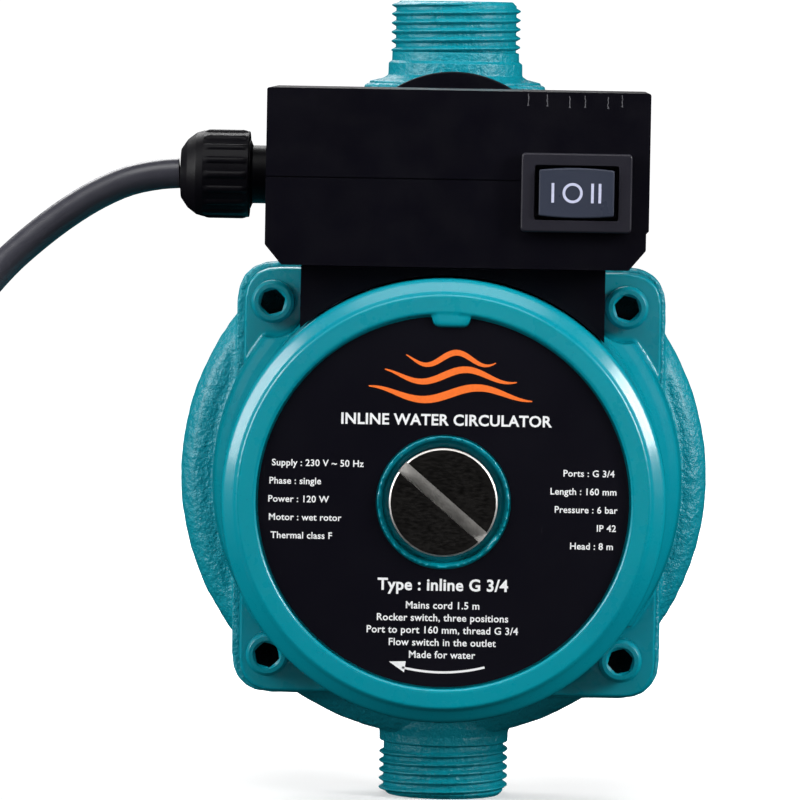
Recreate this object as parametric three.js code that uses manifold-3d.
// Inline wet-rotor circulating pump with a terminal box, a rocker switch and a mains cord.
// Millimetres. The origin is the centre of the lower (suction) port's end face. +Z runs up to the
// discharge port, the motor axis runs along Y and the motor's front looks along -Y.

import * as THREE from "three";
import { mergeVertices } from "three/addons/utils/BufferGeometryUtils.js";
import Module from "manifold-3d";

const wasm = await Module();
wasm.setup();

// ---- driving dimensions ----
const GAP = 0.3; // between pieces that touch
const PORT_TO_PORT = 160; // end face to end face
const THREAD_R = 13.2; // G 3/4 outside radius
const THREAD_LENGTH = 10.5;
const BORE_R = 9; // waterway through both ports
const NECK_R = 13; // runout between a thread and the casting
const COLLAR_R = 13.6;
const AXIS_Z = 65; // height of the motor axis above the suction face

const DISC_R = 52.7; // pump housing body, round about the volute's centre
const DISC_X = -0.9;
const DISC_FRONT = -12;
const DISC_BACK = 22;
const HOUSING_FACE = -16; // joint plane of the two flanges
const FLANGE_BACK = -8;
const EAR_X = [-42.5, 43.3]; // pump housing's square flange
const EAR_Z = [21.4, 107.5];
const EAR_CORNER_R = 8;
const SCREW_HALF_PITCH = 35; // half side of the square of flange screws
const SCREW_HOLE_R = 2.8;
const CHAMBER_R = 38; // impeller chamber
const SUCTION_HALF_WIDTH = 12;

const OUTLET_HALF_WIDTH = 18; // cast block that holds the flow flap
const OUTLET_FRONT = -14;
const OUTLET_BACK = 16;
const OUTLET_TOP = 143.2;
const FLAP_CHAMBER = { x: [-13, 13], y: [-11, 12.5], z: [116, 140] };
const FLAP_PIN_Y = 9;
const FLAP_PIN_Z = 118.6;
const FLAP_PIN_HOLE_R = 1.5;
const FLAP_HALF_WIDTH = 9.8;

const POD_R = 21.8; // flow switch housing
const POD_CENTRE_Z = 124.2;
const POD_BOTTOM = 113;
const POD_FRONT = -25;
const POD_SCREW_X = [-15.5, 15.5];
const POD_SCREW_Z = 117.5;
const SENSOR_LEAD_Z = 128;

const MOTOR_R = 42;
const MOTOR_CAVITY_R = 38.3;
const MOTOR_FLANGE_R = 46.5;
const MOTOR_EAR_X = [-40.8, 42.4]; // motor housing's square flange
const MOTOR_EAR_Z = [22.3, 106.7];
const MOTOR_BACK = HOUSING_FACE - GAP;
const EAR_FRONT = -23; // where the screw heads sit
const MOTOR_FRONT = -84;
const LABEL_R = 35.2;
const LABEL_FLOOR = -82.4; // bottom of the recess for the label
const LABEL_KEY_HALF_WIDTH = 3.5;
const VENT_WELL_R = 11.6; // well round the vent plug's head
const VENT_HEAD_R = 10.35;
const VENT_THREAD_R = 7.8;
const VENT_SLOT_HALF = 1.15;
const VENT_SLOT_TURN = 42.7; // degrees

const SHAFT_R = 4;
const JOURNAL_BORE_R = 4.1;
const BEARING_R = 8;
const ROTOR_R = 16.6;
const CAN_R = 17.9; // outside of the rotor can
const CORE_FRONT = -66; // both iron cores
const CORE_BACK = -38.6;
const BEARING_FRONT = [-74.5, -69];
const BEARING_REAR = [-27.2, -17.6];
const IMPELLER_R = 33;
const VANE_COUNT = 6;

const BOX_X = [-34.8, 38];
const BOX_Z = [109.2, 142.8];
const BOX_CHAMFER = [3.2, 3.8];
const BOX_STEP_Z = 116.7; // the right side is set back below this
const BOX_STEP = 0.5;
const BOX_FRONT = -80;
const BOX_SPLIT = -45; // joint plane of cover and base
const BOX_BACK = -31.5;
const BOX_WALL = 2;
const SADDLE_X = [-28, 30];
const SADDLE_Y = [-75, -34];
const LEAD_PLACE = [6, -52]; // motor leads pass up into the box
const LEAD_HOLE_R = 4;
const BOX_SCREW_X = [-19, 21];
const BOX_SCREW_Y = -38;
const BOX_SCREW_HOLE_R = 2.3;
const COVER_SCREWS = [
  [-30, 137.5],
  [34, 137.5],
];

const SWITCH_X = 24.15;
const SWITCH_Z = 123.8;
const BEZEL_HALF = [10.5, 7.5];
const SWITCH_BODY_HALF = [9.5, 6.5];

const GLAND_Y = -55;
const GLAND_Z = 125.7;
const GLAND_AT = [BOX_X[0], GLAND_Y, GLAND_Z]; // on the box's left side
const GLAND_LENGTH = 17.3;
const GLAND_END = BOX_X[0] - GLAND_LENGTH; // where the cord leaves the clamping nut

const CORD_R = 3;
const COIL_CENTRE = [-144, -34.4];
const COIL_INNER_R = 20.4;
const COIL_OUTER_R = 44.9;
const COIL_HEIGHT = 12.3;

// From the gland, bending down under its own weight, to the floor and up to the coil.
const LEAD_POINTS = [
  [GLAND_END - GAP, GLAND_Y, GLAND_Z],
  [-56, -55, 125.4],
  [-62, -55.1, 124.1],
  [-68, -55.3, 121.4],
  [-74, -55.7, 117.6],
  [-80, -56.4, 112.9],
  [-86, -57.5, 107.3],
  [-91.4, -59.2, 100.4],
  [-95.2, -61.8, 91.5],
  [-97.2, -65, 80],
  [-97.9, -68.4, 67],
  [-98, -71.2, 54],
  [-98.2, -73.6, 41],
  [-99.6, -75.2, 29],
  [-103.2, -75.9, 18.6],
  [-108.8, -76, 10.6],
  [-113.8, -76, 6.2],
  [-119.4, -76, 4.1],
];

// From the coil's top turn, down to the floor and up into the plug.
const TAIL_POINTS = [
  [-166, -78.2, 7.6],
  [-173, -78, 5.4],
  [-180, -76.8, 4],
  [-187.5, -73.6, 3.5],
  [-195, -68.4, 4.2],
  [-201.6, -61.4, 6.6],
  [-206.2, -53, 10.6],
  [-208.6, -45.4, 14.6],
];

const PLUG_X = -209;
const PLUG_Z = 16.5; // the cord's height where it enters the plug
const PLUG_BACK = -21; // end of the plug body that the cord enters
const PLUG_FACE = 9; // face that the pins stand on
const PLUG_RELIEF_BACK = -41;
const PIN_SOCKET_DEPTH = 6;
const PLUG_PINS = [
  { name: "plug_pin_line", x: PLUG_X - 9.5, z: 7, r: 2.55, length: 15 },
  { name: "plug_pin_neutral", x: PLUG_X + 9.5, z: 7, r: 2.55, length: 15 },
  { name: "plug_pin_earth", x: PLUG_X, z: 26, r: 3.5, length: 20.5 },
];

// Segments of a full turn, by the size of the piece.
const ROUND_BIG = 40;
const ROUND_MID = 24;
const ROUND_PIN = 16;
const ROUND_SMALL = 12;

// ---- materials ----
const finish = (color, roughness, metalness = 0) =>
  new THREE.MeshStandardMaterial({ color, roughness, metalness });
const FINISHES = {
  tealPaint: () => finish(0x0a8391, 0.32),
  blackPlastic: () => finish(0x15151a, 0.5),
  charcoalPlastic: () => finish(0x2b2b31, 0.45),
  slatePlastic: () => finish(0x2a323c, 0.35),
  rubber: () => finish(0x1d1d1f, 0.8),
  castIron: () => finish(0x55565a, 0.7, 0.6),
  steel: () => finish(0xb4b6ba, 0.35, 1),
  nickel: () => finish(0x8c8982, 0.25, 1),
  brass: () => finish(0xb8944a, 0.35, 1),
  copper: () => finish(0xa85f3a, 0.45, 1),
  ceramic: () => finish(0xe6e2d8, 0.3),
  palePlastic: () => finish(0xd9d5c8, 0.55),
  greenBoard: () => finish(0x2d6a3e, 0.5),
  labelFilm: () => finish(0x0c0c10, 0.4),
};

// ---- solids ----

// A closed three.js geometry as a manifold solid, its faces turned outwards.
function solid(geometry) {
  const bare = geometry.index ? geometry.toNonIndexed() : geometry.clone();
  bare.deleteAttribute("normal");
  bare.deleteAttribute("uv");
  const merged = mergeVertices(bare, 1e-4);
  const vertProperties = merged.attributes.position.array;
  const build = (triVerts) =>
    new wasm.Manifold(new wasm.Mesh({ numProp: 3, vertProperties, triVerts }));
  const triVerts = new Uint32Array(merged.index.array);
  const made = build(triVerts);
  if (made.volume() > 0) return made;
  for (let i = 0; i < triVerts.length; i += 3) {
    [triVerts[i + 1], triVerts[i + 2]] = [triVerts[i + 2], triVerts[i + 1]];
  }
  return build(triVerts);
}

const join = (first, ...others) => others.reduce((sum, one) => sum.add(one), first);
const cut = (first, ...others) => others.reduce((rest, one) => rest.subtract(one), first);

// Matrices that carry a piece drawn along +Y (lathe) or +Z (extrusion) onto a row axis.
const basis = (a, b, c) =>
  new THREE.Matrix4().makeBasis(new THREE.Vector3(...a), new THREE.Vector3(...b), new THREE.Vector3(...c));
const LATHE_ONTO = {
  x: basis([0, 1, 0], [1, 0, 0], [0, 0, 1]),
  y: basis([1, 0, 0], [0, 1, 0], [0, 0, 1]),
  z: basis([1, 0, 0], [0, 0, 1], [0, 1, 0]),
};
const EXTRUDE_ONTO = {
  x: basis([0, 1, 0], [0, 0, 1], [1, 0, 0]),
  y: basis([1, 0, 0], [0, 0, 1], [0, 1, 0]),
  z: basis([1, 0, 0], [0, 1, 0], [0, 0, 1]),
};

// Turned piece: profile of [radius, place along the axis], centred on the point `at`.
// A profile that starts and ends off the axis is closed on itself.
function turned(axis, profile, at = [0, 0, 0], segments = ROUND_MID) {
  const points = profile.map(([r, s]) => new THREE.Vector2(r, s));
  const open = points[0].x > 0 || points[points.length - 1].x > 0;
  if (open) points.push(points[0].clone());
  const geometry = new THREE.LatheGeometry(points, segments);
  return solid(geometry.applyMatrix4(LATHE_ONTO[axis]).translate(...at));
}

// Straight cylinder along an axis, from one end to the other.
const rod = (axis, r, from, to, at, segments = ROUND_SMALL) =>
  turned(axis, [[0, from], [r, from], [r, to], [0, to]], at, segments);

// Straight tube along an axis.
const tube = (axis, inner, outer, from, to, at, segments = ROUND_MID) =>
  turned(axis, [[inner, from], [outer, from], [outer, to], [inner, to]], at, segments);

// Flat outline extruded along an axis. The outline's two directions are the other two row axes:
// (Y, Z) for x, (X, Z) for y and (X, Y) for z.
function prism(axis, outline, from, to, curveSegments = 4) {
  const options = { depth: to - from, bevelEnabled: false, curveSegments };
  const geometry = new THREE.ExtrudeGeometry(outline, options);
  return solid(geometry.translate(0, 0, from).applyMatrix4(EXTRUDE_ONTO[axis]));
}

function block([x0, x1], [y0, y1], [z0, z1]) {
  const geometry = new THREE.BoxGeometry(x1 - x0, y1 - y0, z1 - z0);
  return solid(geometry.translate((x0 + x1) / 2, (y0 + y1) / 2, (z0 + z1) / 2));
}

function roundedRect([a0, a1], [b0, b1], r) {
  const s = new THREE.Shape();
  s.moveTo(a0 + r, b0);
  s.lineTo(a1 - r, b0);
  s.absarc(a1 - r, b0 + r, r, -Math.PI / 2, 0);
  s.lineTo(a1, b1 - r);
  s.absarc(a1 - r, b1 - r, r, 0, Math.PI / 2);
  s.lineTo(a0 + r, b1);
  s.absarc(a0 + r, b1 - r, r, Math.PI / 2, Math.PI);
  s.lineTo(a0, b0 + r);
  s.absarc(a0 + r, b0 + r, r, Math.PI, 1.5 * Math.PI);
  return s;
}

function polygon(points) {
  const s = new THREE.Shape();
  points.forEach(([a, b], i) => (i ? s.lineTo(a, b) : s.moveTo(a, b)));
  return s;
}

// Regular hexagon of a given width across its flats.
function hexagon(acrossFlats, [a, b] = [0, 0]) {
  const r = acrossFlats / Math.sqrt(3);
  return polygon(
    [0, 1, 2, 3, 4, 5].map((k) => {
      const angle = (k * Math.PI) / 3;
      return [a + r * Math.cos(angle), b + r * Math.sin(angle)];
    }),
  );
}

const MOTOR_AT = [0, 0, AXIS_Z];
const SCREW_PLACES = [
  [-1, 1],
  [1, 1],
  [1, -1],
  [-1, -1],
].map(([i, k]) => [i * SCREW_HALF_PITCH, AXIS_Z + k * SCREW_HALF_PITCH]);

// ---- the scene graph ----
const pump = new THREE.Group();
pump.name = "inline_circulating_pump";

function add(name, shape, material) {
  const mesh = shape.getMesh();
  const geometry = new THREE.BufferGeometry();
  geometry.setAttribute("position", new THREE.BufferAttribute(mesh.vertProperties, 3));
  geometry.setIndex(new THREE.BufferAttribute(mesh.triVerts, 1));
  geometry.computeVertexNormals();
  const piece = new THREE.Mesh(geometry, material());
  piece.name = name;
  pump.add(piece);
}

// ---- pump end ----

function pumpHousing() {
  const disc = turned(
    "y",
    [[0, DISC_FRONT], [DISC_R - 1.5, DISC_FRONT], [DISC_R, DISC_FRONT + 1.5], [DISC_R, 12], [50.5, 17],
     [45, 21], [40, DISC_BACK], [0, DISC_BACK]],
    [DISC_X, 0, AXIS_Z],
    ROUND_BIG,
  );
  const flange = prism(
    "y",
    roundedRect(EAR_X, EAR_Z, EAR_CORNER_R),
    HOUSING_FACE,
    FLANGE_BACK,
  );
  const rim = rod("y", MOTOR_FLANGE_R, HOUSING_FACE, FLANGE_BACK, MOTOR_AT, ROUND_BIG);
  const lowerNeck = turned(
    "z",
    [[0, 0], [THREAD_R - 0.8, 0], [THREAD_R, 0.8], [THREAD_R, THREAD_LENGTH], [NECK_R, THREAD_LENGTH],
     [NECK_R, 12.4], [COLLAR_R, 13.4], [14.2, 20], [14.5, 40], [0, 40]],
  );
  const outletBlock = prism(
    "z",
    roundedRect([-OUTLET_HALF_WIDTH, OUTLET_HALF_WIDTH], [OUTLET_FRONT, OUTLET_BACK], 5),
    100,
    OUTLET_TOP,
  );
  const shoulder = turned(
    "z",
    [[0, 140], [17.4, 140], [17.4, OUTLET_TOP], [14.3, 144.4], [COLLAR_R, 144.9], [COLLAR_R, 147.3],
     [NECK_R, 147.8], [NECK_R, PORT_TO_PORT - THREAD_LENGTH], [THREAD_R, PORT_TO_PORT - THREAD_LENGTH],
     [THREAD_R, PORT_TO_PORT - 0.8], [THREAD_R - 0.8, PORT_TO_PORT], [0, PORT_TO_PORT]],
  );
  const chamber = join(
    rod("y", CHAMBER_R, HOUSING_FACE - 1, -11, MOTOR_AT, ROUND_BIG),
    rod("y", CHAMBER_R + 2, -12.6, 0, [1.5, 0, AXIS_Z + 1.5], ROUND_BIG),
  );
  const sealGroove = tube("y", 39.8, 42.3, HOUSING_FACE - 1, -14, MOTOR_AT, ROUND_BIG);
  const eye = rod("y", 13, -1, 5, MOTOR_AT, ROUND_MID);
  const suctionDuct = join(
    rod("z", BORE_R, -1, 23, [0, 0, 0], ROUND_MID),
    prism("x", roundedRect([4, 18], [9, AXIS_Z + 13], 5), -SUCTION_HALF_WIDTH, SUCTION_HALF_WIDTH),
  );
  const dischargeDuct = join(
    rod("z", BORE_R, 96, PORT_TO_PORT + 1, [0, 0, 0], ROUND_MID),
    prism("z", roundedRect(FLAP_CHAMBER.x, FLAP_CHAMBER.y, 2), ...FLAP_CHAMBER.z),
  );
  const pinHole = rod("x", FLAP_PIN_HOLE_R, -16.4, OUTLET_HALF_WIDTH + 1, [0, FLAP_PIN_Y, FLAP_PIN_Z]);
  const screwHoles = SCREW_PLACES.map(([x, z]) => rod("y", SCREW_HOLE_R, HOUSING_FACE - 1, -5, [x, 0, z]));
  const podHoles = POD_SCREW_X.map((x) => rod("y", 1.6, OUTLET_FRONT - 1, -7, [x, 0, POD_SCREW_Z]));
  return cut(
    join(disc, flange, rim, lowerNeck, outletBlock, shoulder),
    chamber,
    sealGroove,
    eye,
    suctionDuct,
    dischargeDuct,
    pinHole,
    ...screwHoles,
    ...podHoles,
  );
}

// One backward-curved vane between two radii, as an outline in (X, Z) about the motor axis.
function vaneOutline(turn) {
  const steps = 4;
  const inner = 11.5;
  const outer = IMPELLER_R - 0.6;
  const sweep = THREE.MathUtils.degToRad(62);
  const half = 0.8;
  const edge = (side) =>
    Array.from({ length: steps + 1 }, (_, k) => {
      const t = k / steps;
      const r = inner + (outer - inner) * t;
      const angle = turn + sweep * t ** 0.85 + (side * half) / r;
      return [r * Math.cos(angle), AXIS_Z + r * Math.sin(angle)];
    });
  return polygon([...edge(-1), ...edge(1).reverse()]);
}

function impeller() {
  const backShroud = tube("y", SHAFT_R - 0.7, IMPELLER_R, -14.6, -13, MOTOR_AT);
  const hub = tube("y", SHAFT_R - 0.7, 6.5, -13.4, -5.4, MOTOR_AT);
  const eyeShroud = turned(
    "y",
    [[9.4, -4.2], [IMPELLER_R, -4.2], [IMPELLER_R, -2.6], [11, -2.6], [11, 1.5], [9.4, 1.5]],
    MOTOR_AT,
  );
  const vanes = Array.from({ length: VANE_COUNT }, (_, k) =>
    prism("y", vaneOutline((k * 2 * Math.PI) / VANE_COUNT), -13.2, -4),
  );
  return join(backShroud, hub, eyeShroud, ...vanes);
}

function impellerNut() {
  return cut(prism("y", hexagon(10, [0, AXIS_Z]), -5, -1.6), rod("y", 3.3, -6, 0, MOTOR_AT));
}

function shaft() {
  const body = turned(
    "y",
    [[0, -76.5], [SHAFT_R - 0.5, -76.5], [SHAFT_R, -76], [SHAFT_R, -15], [3, -14.8], [3, -1],
     [2.6, -0.6], [0, -0.6]],
    MOTOR_AT,
  );
  return cut(body, block([-5, 5], [-78, -75.3], [AXIS_Z - 0.6, AXIS_Z + 0.6]));
}

function bearingPlate() {
  return turned(
    "y",
    [[8.4, -17.3], [8.4, -27.4], [11, -27.4], [11.6, -18.6], [37.6, -18.6], [37.6, -15.9], [5.2, -15.9],
     [5.2, -17.3]],
    MOTOR_AT,
  );
}

function rotorCan() {
  return turned(
    "y",
    [[17.1, -19.2], [26, -19.2], [26, -20], [CAN_R, -20], [CAN_R, -75.7], [8.6, -75.7], [8.6, -74.9],
     [17.1, -74.9]],
    MOTOR_AT,
  );
}

// ---- motor ----

function motorHousing() {
  const body = turned(
    "y",
    [[0, MOTOR_BACK], [MOTOR_FLANGE_R, MOTOR_BACK], [MOTOR_FLANGE_R, -27.5], [45.8, -29.3], [44, -30.5],
     [42.4, -32.5], [MOTOR_R, -36], [41.3, -74], [40.8, -79], [39.7, -82.6], [38.3, MOTOR_FRONT],
     [36, MOTOR_FRONT], [35.6, -83.6], [35.6, LABEL_FLOOR], [12.35, LABEL_FLOOR], [12.35, -83.8], [0, -83.8]],
    MOTOR_AT,
    ROUND_BIG,
  );
  const ears = prism(
    "y",
    roundedRect(MOTOR_EAR_X, MOTOR_EAR_Z, EAR_CORNER_R - 1),
    EAR_FRONT,
    MOTOR_BACK,
  );
  const keyX = [-LABEL_KEY_HALF_WIDTH, LABEL_KEY_HALF_WIDTH];
  const key = block(keyX, [-83.6, LABEL_FLOOR + 0.5], [AXIS_Z + 33.4, AXIS_Z + 37]);
  const cavity = rod("y", MOTOR_CAVITY_R, -76, MOTOR_BACK + 1, MOTOR_AT, ROUND_BIG);
  const ventWell = join(
    rod("y", VENT_WELL_R, -86, -79.5, MOTOR_AT, ROUND_MID),
    rod("y", VENT_THREAD_R + 0.4, -80, -75, MOTOR_AT, ROUND_MID),
  );
  const screwPockets = SCREW_PLACES.map(([x, z]) =>
    join(
      rod("y", 7.1, -60, EAR_FRONT, [x, 0, z], ROUND_MID),
      rod("y", SCREW_HOLE_R, EAR_FRONT - 1, MOTOR_BACK + 1, [x, 0, z]),
    ),
  );
  const leadHole = rod("z", LEAD_HOLE_R, 100, 112, [...LEAD_PLACE, 0]);
  const saddleScrewHoles = BOX_SCREW_X.map((x) =>
    rod("z", BOX_SCREW_HOLE_R, 99, 112, [x, BOX_SCREW_Y, 0]),
  );
  return cut(
    join(body, ears),
    cut(cavity, key),
    ventWell,
    ...screwPockets,
    leadHole,
    ...saddleScrewHoles,
  ).add(key);
}

// Socket head cap screw along Y, its head towards the front.
function flangeScrew([x, z]) {
  const body = turned(
    "y",
    [[0, -28], [3.6, -28], [4.25, -27.4], [4.25, EAR_FRONT - GAP], [2.5, EAR_FRONT - GAP], [2.5, -5.6],
     [0, -5.6]],
    [x, 0, z],
    ROUND_PIN,
  );
  return cut(body, prism("y", hexagon(4, [x, z]), -29, -25));
}

function ventPlug() {
  const body = turned(
    "y",
    [[0, -84.8], [9.5, -84.8], [VENT_HEAD_R, -84], [VENT_HEAD_R, -81.2], [VENT_THREAD_R, -81.2],
     [VENT_THREAD_R, -77.6], [0, -77.6]],
    MOTOR_AT,
  );
  const slot = block([-12, 12], [-86, -83], [-VENT_SLOT_HALF, VENT_SLOT_HALF]);
  const turn = new THREE.Matrix4().makeRotationY(THREE.MathUtils.degToRad(VENT_SLOT_TURN));
  return cut(body, slot.transform(turn.setPosition(0, 0, AXIS_Z).toArray()));
}

function labelDisc() {
  const disc = tube("y", 12.8, LABEL_R, -83.1, LABEL_FLOOR - GAP, MOTOR_AT, ROUND_BIG);
  const half = LABEL_KEY_HALF_WIDTH + GAP;
  return cut(disc, block([-half, half], [-84, -82], [AXIS_Z + 33, AXIS_Z + 37]));
}

// ---- terminal box ----

// The box's outline seen from the front, set in by a wall's thickness.
function boxOutline(inset) {
  const [x0, x1] = [BOX_X[0] + inset, BOX_X[1] - inset];
  const [z0, z1] = [BOX_Z[0] + inset, BOX_Z[1] - inset];
  const [run, rise] = BOX_CHAMFER;
  return polygon([
    [x0 + run, z0],
    [x1 - BOX_STEP - run, z0],
    [x1 - BOX_STEP, z0 + rise],
    [x1 - BOX_STEP, BOX_STEP_Z - BOX_STEP],
    [x1, BOX_STEP_Z],
    [x1, z1 - 0.8],
    [x1 - 0.8, z1],
    [x0 + 0.8, z1],
    [x0, z1 - 0.8],
    [x0, z0 + rise],
  ]);
}

function saddle() {
  const body = block(SADDLE_X, SADDLE_Y, [94, BOX_Z[0] - GAP]);
  return cut(body, rod("y", MOTOR_R + 0.6, -80, -30, MOTOR_AT, ROUND_BIG));
}

function terminalBoxBase() {
  const shell = cut(
    prism("y", boxOutline(0), BOX_SPLIT + GAP, BOX_BACK),
    prism("y", boxOutline(BOX_WALL), BOX_SPLIT - 1, BOX_BACK - BOX_WALL),
  );
  const bridge = block(SADDLE_X, [BOX_SPLIT + GAP, SADDLE_Y[1]], [BOX_Z[0] - 1, BOX_Z[0] + 1]);
  return cut(
    join(shell, saddle(), bridge),
    rod("z", LEAD_HOLE_R, 100, 114, [...LEAD_PLACE, 0]),
    ...BOX_SCREW_X.map((x) => rod("z", BOX_SCREW_HOLE_R, 90, 114, [x, BOX_SCREW_Y, 0])),
    ...COVER_SCREWS.map(([x, z]) => rod("y", 1.8, BOX_BACK - 3, BOX_BACK + 1, [x, 0, z])),
    rod("y", 1.6, BOX_BACK - 3, BOX_BACK + 1, [0, 0, SENSOR_LEAD_Z]),
  );
}

function terminalBoxCover() {
  const shell = cut(
    prism("y", boxOutline(0), BOX_FRONT, BOX_SPLIT),
    prism("y", boxOutline(BOX_WALL), BOX_FRONT + BOX_WALL, BOX_SPLIT + 1),
  );
  const seam = block([BOX_X[0] - 1, SWITCH_X - 10.5], [BOX_FRONT - 1, BOX_FRONT + 0.3], [125.7, 126.1]);
  const window = aroundSwitch(SWITCH_BODY_HALF.map((half) => half + GAP), [BOX_FRONT - 1, -70]);
  const glandHole = rod("x", 5.4, -1, 4, GLAND_AT, ROUND_MID);
  const leadHole = rod("z", LEAD_HOLE_R, 100, 114, [...LEAD_PLACE, 0]);
  const posts = COVER_SCREWS.map(([x, z]) =>
    tube("y", 1.7, 3.4, BOX_FRONT + 1, BOX_SPLIT - 1, [x, 0, z], ROUND_SMALL),
  );
  return cut(join(shell, ...posts), seam, window, glandHole, leadHole);
}

function pillarScrew(axis, headR, headFrom, headTo, shankR, shankTo, at) {
  return turned(
    axis,
    [[0, headTo], [headR, headTo], [headR, headFrom], [shankR, headFrom], [shankR, shankTo], [0, shankTo]],
    at,
    ROUND_SMALL,
  );
}

// ---- rocker switch ----

// Block centred on the switch, from its half sizes across and up.
const aroundSwitch = ([halfX, halfZ], y) =>
  block([SWITCH_X - halfX, SWITCH_X + halfX], y, [SWITCH_Z - halfZ, SWITCH_Z + halfZ]);

function switchBezel() {
  const [halfX, halfZ] = BEZEL_HALF;
  const plate = prism(
    "y",
    roundedRect([SWITCH_X - halfX, SWITCH_X + halfX], [SWITCH_Z - halfZ, SWITCH_Z + halfZ], 0.8),
    -82,
    BOX_FRONT - GAP,
  );
  const body = aroundSwitch(SWITCH_BODY_HALF, [-80.5, -65]);
  const well = aroundSwitch([7.95, 5.2], [-83, -70.5]);
  const blades = [-6, 0, 6].map((dx) =>
    block([SWITCH_X + dx - 0.4, SWITCH_X + dx + 0.4], [-65.5, -58.5], [SWITCH_Z - 2.4, SWITCH_Z + 2.4]),
  );
  return cut(join(plate, body, ...blades), well);
}

// Outline in (X, Y): a shallow dished face, sides that stay clear of the well as it rocks.
function switchRocker() {
  const [half, ends, middle] = [7.1, -82.9, -82.3];
  const outline = polygon([
    [SWITCH_X - half, ends],
    [SWITCH_X, middle],
    [SWITCH_X + half, ends],
    [SWITCH_X + half, -78.4],
    [SWITCH_X + 5, -74.5],
    [SWITCH_X + 1.6, -72.4],
    [SWITCH_X - 1.6, -72.4],
    [SWITCH_X - 5, -74.5],
    [SWITCH_X - half, -78.4],
  ]);
  return prism("z", outline, SWITCH_Z - 4.75, SWITCH_Z + 4.75);
}

// ---- flow switch in the outlet ----

function sensorPod() {
  const foot = Math.sqrt(POD_R ** 2 - (POD_CENTRE_Z - POD_BOTTOM) ** 2);
  const from = Math.atan2(POD_BOTTOM - POD_CENTRE_Z, foot);
  const outline = new THREE.Shape();
  outline.moveTo(foot, POD_BOTTOM);
  outline.absarc(0, POD_CENTRE_Z, POD_R, from, Math.PI - from);
  outline.lineTo(-foot, POD_BOTTOM);
  const body = prism("y", outline, POD_FRONT, OUTLET_FRONT - GAP, 24);
  const hollow = block([-9, 9], [-22, OUTLET_FRONT + 1], [119, 131]);
  const shoulderClearance = rod("z", 17.8, 139, 147, [0, 0, 0], ROUND_BIG);
  return cut(
    body,
    hollow,
    shoulderClearance,
    ...POD_SCREW_X.map((x) => rod("y", 1.6, POD_FRONT - 1, -13, [x, 0, POD_SCREW_Z])),
    rod("y", 1.6, POD_FRONT - 1, -20, [0, 0, SENSOR_LEAD_Z]),
  );
}

function flowFlap() {
  const at = [0, FLAP_PIN_Y, FLAP_PIN_Z];
  const x = [-FLAP_HALF_WIDTH, FLAP_HALF_WIDTH];
  const knuckle = tube("x", FLAP_PIN_HOLE_R, 2.4, ...x, at, ROUND_SMALL);
  const plate = cut(block(x, [-9.6, FLAP_PIN_Y - 0.8], [117, 118.4]), rod("x", FLAP_PIN_HOLE_R, -11, 11, at));
  return join(plate, knuckle);
}

// ---- cable gland, drawn from the box's side ----

function glandBody() {
  return turned(
    "x",
    [[3.5, 7], [5, 7], [5, -GAP], [5.6, -GAP], [5.6, -3.4], [6.6, -3.8], [6.6, -12], [5.2, -12],
     [5.2, -7.7], [3.5, -7.7]],
    GLAND_AT,
  );
}

function glandNut() {
  const shell = turned(
    "x",
    [[6.9, -4], [8.4, -4], [8.4, -13], [7.8, -14.4], [6.4, -16.2], [4.6, -GLAND_LENGTH],
     [3.4, -GLAND_LENGTH], [3.4, -12.6], [6.9, -12.6]],
    GLAND_AT,
  );
  const ribs = Array.from({ length: 12 }, (_, k) => {
    const rib = block([-12.6, -4.4], [8, 8.8], [-0.8, 0.8]);
    const turn = new THREE.Matrix4().makeRotationX((k * Math.PI) / 6).setPosition(...GLAND_AT);
    return rib.transform(turn.toArray());
  });
  return join(shell, ...ribs);
}

function glandLocknut() {
  const [from, to] = [BOX_X[0] + BOX_WALL + GAP, BOX_X[0] + 5.5];
  return cut(prism("x", hexagon(14, [GLAND_Y, GLAND_Z]), from, to), rod("x", 5.3, 1, 7, GLAND_AT, ROUND_MID));
}

// ---- mains cord: 6 mm, 1.5 m in all ----

// Tube along a smooth curve through the given points.
function cordTube(points, steps) {
  const path = new THREE.CatmullRomCurve3(points.map((p) => new THREE.Vector3(...p)), false, "centripetal");
  const section = polygon(
    Array.from({ length: 8 }, (_, k) => {
      const angle = (k * Math.PI) / 4;
      return [CORD_R * Math.cos(angle), CORD_R * Math.sin(angle)];
    }),
  );
  return solid(new THREE.ExtrudeGeometry(section, { extrudePath: path, steps, bevelEnabled: false }));
}

function cordTie() {
  const [x, y] = COIL_CENTRE;
  const from = x + COIL_INNER_R - 1.2;
  const to = x + COIL_OUTER_R + 0.4;
  const outer = block([from - 1.2, to + 1.2], [y - 5, y + 5], [0, COIL_HEIGHT + 1.6]);
  const inner = block([from, to], [y - 6, y + 6], [-1, COIL_HEIGHT + 0.4]);
  return cut(outer, inner);
}

// Moulded plug with three round pins: rounded triangle in (X, Z), flat side down.
function plugBody() {
  const outline = new THREE.Shape();
  outline.moveTo(PLUG_X - 13, 0);
  outline.lineTo(PLUG_X + 13, 0);
  outline.absarc(PLUG_X + 13, 5, 5, -Math.PI / 2, 0.4);
  outline.lineTo(PLUG_X + 10.4, 28.5);
  outline.absarc(PLUG_X + 4.2, 26.2, 6.6, 0.4, Math.PI / 2);
  outline.lineTo(PLUG_X - 4.2, 32.8);
  outline.absarc(PLUG_X - 4.2, 26.2, 6.6, Math.PI / 2, Math.PI - 0.4);
  outline.absarc(PLUG_X - 13, 5, 5, Math.PI - 0.4, 1.5 * Math.PI);
  const body = prism("y", outline, PLUG_BACK, PLUG_FACE, 4);
  const pinHoles = PLUG_PINS.map(({ x, z, r }) =>
    rod("y", r + GAP, PLUG_FACE - PIN_SOCKET_DEPTH, PLUG_FACE + 1, [x, 0, z]),
  );
  return cut(body, ...pinHoles);
}

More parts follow.
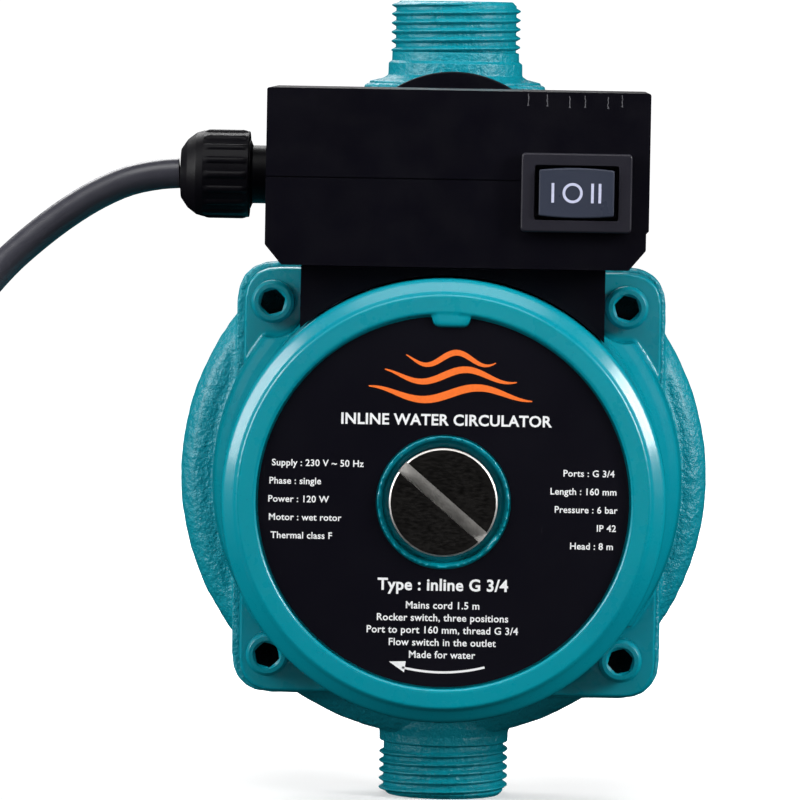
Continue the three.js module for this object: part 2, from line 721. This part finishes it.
function plugPin({ x, z, r, length }) {
  const root = PLUG_FACE - PIN_SOCKET_DEPTH + GAP;
  const end = PLUG_FACE + length;
  return turned("y", [[0, root], [r, root], [r, end - 1], [r - 1, end], [0, end]], [x, 0, z], ROUND_PIN);
}

function plugRelief() {
  return turned(
    "y",
    [[3.4, PLUG_RELIEF_BACK], [4.6, PLUG_RELIEF_BACK], [6.4, PLUG_BACK - GAP], [3.4, PLUG_BACK - GAP]],
    [PLUG_X, 0, PLUG_Z],
    ROUND_PIN,
  );
}

// ---- assembly ----
const aboutAxis = (inner, outer, [from, to], segments) =>
  tube("y", inner, outer, from, to, MOTOR_AT, segments);

add("pump_housing", pumpHousing(), FINISHES.tealPaint);
add("casing_seal", aboutAxis(40.1, 42, [-15.9, -14.3], ROUND_BIG), FINISHES.rubber);
add("wear_ring", aboutAxis(11.4, 12.7, [-0.8, 3.4]), FINISHES.brass);
add("bearing_plate", bearingPlate(), FINISHES.steel);
add("rear_bearing", aboutAxis(JOURNAL_BORE_R, BEARING_R, BEARING_REAR), FINISHES.ceramic);

add("impeller", impeller(), FINISHES.palePlastic);
add("impeller_nut", impellerNut(), FINISHES.brass);
add("shaft", shaft(), FINISHES.steel);
add("rotor_core", aboutAxis(SHAFT_R + GAP, ROTOR_R, [CORE_FRONT, CORE_BACK]), FINISHES.steel);
add("thrust_washer", aboutAxis(SHAFT_R + GAP, 7.6, [-29, -27.6]), FINISHES.ceramic);

add("rotor_can", rotorCan(), FINISHES.steel);
add("front_bearing_holder", aboutAxis(BEARING_R + GAP, 16.8, BEARING_FRONT), FINISHES.brass);
add("front_bearing", aboutAxis(JOURNAL_BORE_R, BEARING_R, BEARING_FRONT), FINISHES.ceramic);
add("stator_core", aboutAxis(CAN_R + GAP, 38, [CORE_FRONT, CORE_BACK]), FINISHES.castIron);
add("winding_rear", aboutAxis(20, 35, [CORE_BACK + GAP, -30]), FINISHES.copper);
add("winding_front", aboutAxis(20, 35, [-74.2, CORE_FRONT - GAP]), FINISHES.copper);
add("motor_housing", motorHousing(), FINISHES.tealPaint);
SCREW_PLACES.forEach((place, i) => add(`flange_screw_${i + 1}`, flangeScrew(place), FINISHES.tealPaint));

add("vent_plug", ventPlug(), FINISHES.nickel);
add("vent_seal", aboutAxis(8.4, 10.1, [-80.9, -79.8]), FINISHES.rubber);
add("label_disc", labelDisc(), FINISHES.labelFilm);

add("terminal_box_base", terminalBoxBase(), FINISHES.blackPlastic);
add("terminal_box_cover", terminalBoxCover(), FINISHES.blackPlastic);
add("lead_grommet", tube("z", 2.2, 3.6, 106.8, 110.6, [...LEAD_PLACE, 0], ROUND_PIN), FINISHES.rubber);
BOX_SCREW_X.forEach((x, i) =>
  add(
    `box_screw_${i + 1}`,
    pillarScrew("z", 3.8, 111.6, 113.8, 2, 99.5, [x, BOX_SCREW_Y, 0]),
    FINISHES.steel,
  ),
);
COVER_SCREWS.forEach(([x, z], i) =>
  add(
    `cover_screw_${i + 1}`,
    pillarScrew("y", 2.8, BOX_BACK + GAP, -26.9, 1.4, -62, [x, 0, z]),
    FINISHES.steel,
  ),
);
add("switch_bezel", switchBezel(), FINISHES.charcoalPlastic);
add("switch_rocker", switchRocker(), FINISHES.slatePlastic);
add("run_capacitor", rod("x", 7.4, -26, 8, [0, -69.6, 131.4], ROUND_MID), FINISHES.palePlastic);
add(
  "terminal_block",
  cut(
    block([-25, -3], [-66, -56], [111.6, 121.6]),
    ...[-21, -14, -7].map((x) => rod("z", 2, 114, 123, [x, -61, 0])),
  ),
  FINISHES.palePlastic,
);
add("control_board", block([-24, 28], [-35.8, -34.2], [116, 134]), FINISHES.greenBoard);

add("sensor_pod", sensorPod(), FINISHES.blackPlastic);
POD_SCREW_X.forEach((x, i) =>
  add(
    `pod_screw_${i + 1}`,
    pillarScrew("y", 2.6, POD_FRONT - GAP, -27, 1.3, -8, [x, 0, POD_SCREW_Z]),
    FINISHES.steel,
  ),
);
add("reed_switch", rod("x", 1.2, -7, 7, [0, -18, 122]), FINISHES.palePlastic);
add("sensor_lead", rod("y", 1.2, -33.9, -20.5, [0, 0, SENSOR_LEAD_Z]), FINISHES.rubber);
add("flow_flap", flowFlap(), FINISHES.steel);
add("flap_magnet", block([-3, 3], [-9.2, -5.2], [118.7, 121.7]), FINISHES.castIron);
add("flap_pin", rod("x", 1.2, -16, 17.4, [0, FLAP_PIN_Y, FLAP_PIN_Z]), FINISHES.steel);

add("gland_body", glandBody(), FINISHES.blackPlastic);
add("gland_locknut", glandLocknut(), FINISHES.blackPlastic);
add("gland_seal", tube("x", 3.4, 4.9, -12, -8, GLAND_AT), FINISHES.rubber);
add("gland_nut", glandNut(), FINISHES.blackPlastic);

add("cord_lead", cordTube(LEAD_POINTS, 30), FINISHES.rubber);
add(
  "cord_coil",
  tube("z", COIL_INNER_R, COIL_OUTER_R, 0, COIL_HEIGHT, [...COIL_CENTRE, 0]),
  FINISHES.rubber,
);
add("cord_tail", cordTube(TAIL_POINTS, 12), FINISHES.rubber);
add("cord_tie", cordTie(), FINISHES.blackPlastic);
add("plug_relief", plugRelief(), FINISHES.rubber);
add("plug_body", plugBody(), FINISHES.blackPlastic);
PLUG_PINS.forEach((pin) => add(pin.name, plugPin(pin), FINISHES.brass));

export default pump;
